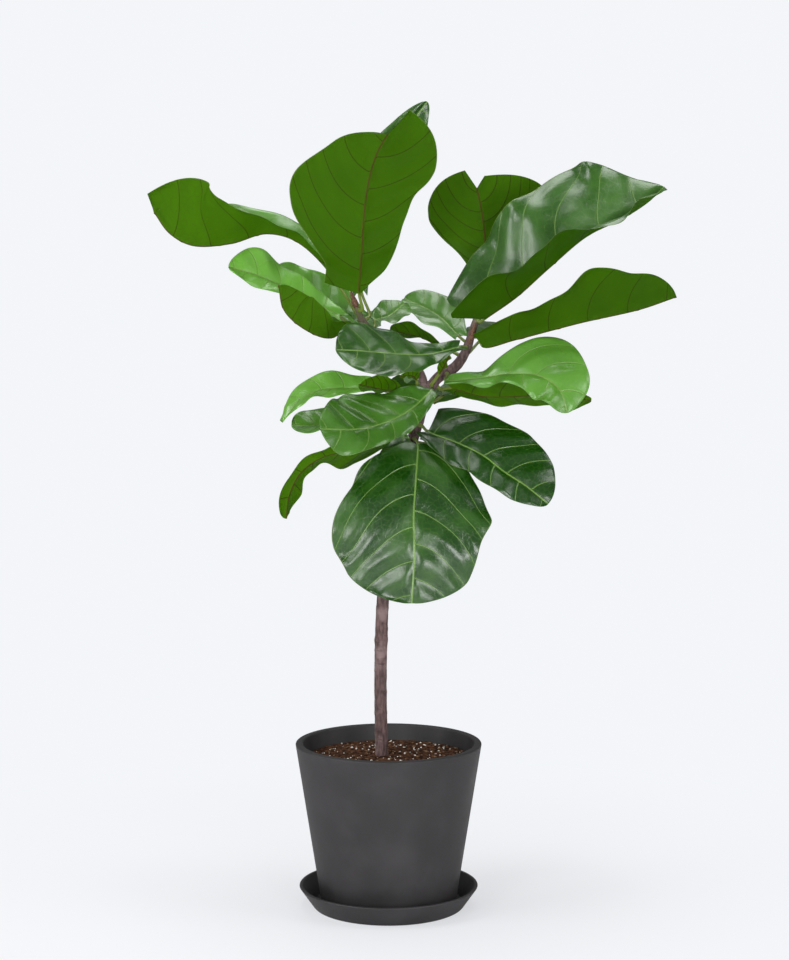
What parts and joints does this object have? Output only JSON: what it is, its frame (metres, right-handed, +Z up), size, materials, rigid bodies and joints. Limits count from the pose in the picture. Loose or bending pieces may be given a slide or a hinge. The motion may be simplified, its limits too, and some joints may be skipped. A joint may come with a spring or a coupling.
{
  "type": "potted fiddle leaf fig",
  "caption": "Fiddle leaf fig tree with a bare woody stem that forks into two leafy shoots, standing in a tapered matte planter of potting mix on a round saucer.",
  "frame": {"origin": "centre of the saucer's flat underside, on the axis of the planter", "axes": "+Z up along the planter's axis, -Y towards the front of the plant, +X to its right as seen from the front"},
  "size_m": [0.813, 0.4666, 1.2946],
  "materials": {
    "leaf": "glossy above, matte below",
    "bark": "rough bark",
    "sheath": "dry and papery",
    "potting_mix": "loose damp bark and peat",
    "planter": "matte charcoal",
    "saucer": "matte charcoal"
  },
  "bodies": {
    "root": {"leaf_back_left": "leaf", "leaf_back_low": "leaf", "leaf_back_low_right": "leaf", "leaf_back_mid": "leaf", "leaf_back_right": "leaf", "leaf_back_top": "leaf", "leaf_centre_under": "leaf", "leaf_front": "leaf", "leaf_front_low": "leaf", "leaf_inner": "leaf", "leaf_left_droop": "leaf", "leaf_left_far": "leaf", "leaf_left_front": "leaf", "leaf_left_low": "leaf", "leaf_left_low_back": "leaf", "leaf_left_mid": "leaf", "leaf_left_mid_back": "leaf", "leaf_low_back": "leaf", "leaf_low_big": "leaf", "leaf_low_inner": "leaf", "leaf_mid_under": "leaf", "leaf_right_back": "leaf", "leaf_right_big": "leaf", "leaf_right_dark": "leaf", "leaf_right_long": "leaf", "leaf_right_low": "leaf", "leaf_right_top": "leaf", "leaf_right_under": "leaf", "leaf_top": "leaf", "leaf_top_back": "leaf", "leaf_young": "leaf", "stem": "bark", "bud_left": "sheath", "bud_right": "sheath", "sheath_fork": "sheath", "soil": "potting_mix", "pot": "planter", "saucer": "saucer"}
  },
  "joints": []
}
